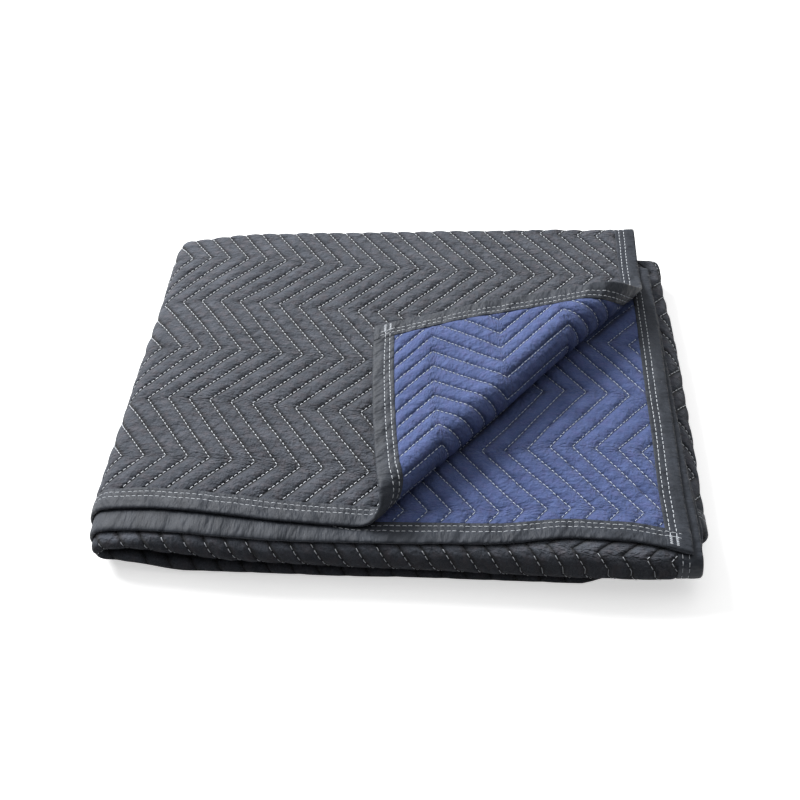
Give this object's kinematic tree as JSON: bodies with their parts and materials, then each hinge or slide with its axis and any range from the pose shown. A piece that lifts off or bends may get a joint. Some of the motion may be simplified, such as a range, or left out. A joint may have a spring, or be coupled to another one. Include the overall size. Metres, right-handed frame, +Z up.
{
  "type": "moving blanket",
  "caption": "Quilted moving blanket, black one side and blue the other, bound in black tape, folded into a flat pile with a front corner turned back.",
  "frame": {"origin": "middle of the pile's footprint, on the floor it lies on", "axes": "+Z up, +X along the pile's longest side to the right as seen from the front, +Y from the front edge to the back"},
  "size_m": [0.6652, 0.5702, 0.1122],
  "materials": {
    "black_cloth": "matte nonwoven quilted cloth, black",
    "blue_cloth": "matte nonwoven quilted cloth, blue",
    "black_tape": "smooth woven binding tape, black"
  },
  "bodies": {
    "root": {"black_face": "black_cloth", "blue_face": "blue_cloth", "end_binding_top": "black_tape", "end_binding_second": "black_tape", "side_binding_right": "black_tape", "side_binding_inner": "black_tape"}
  },
  "joints": []
}
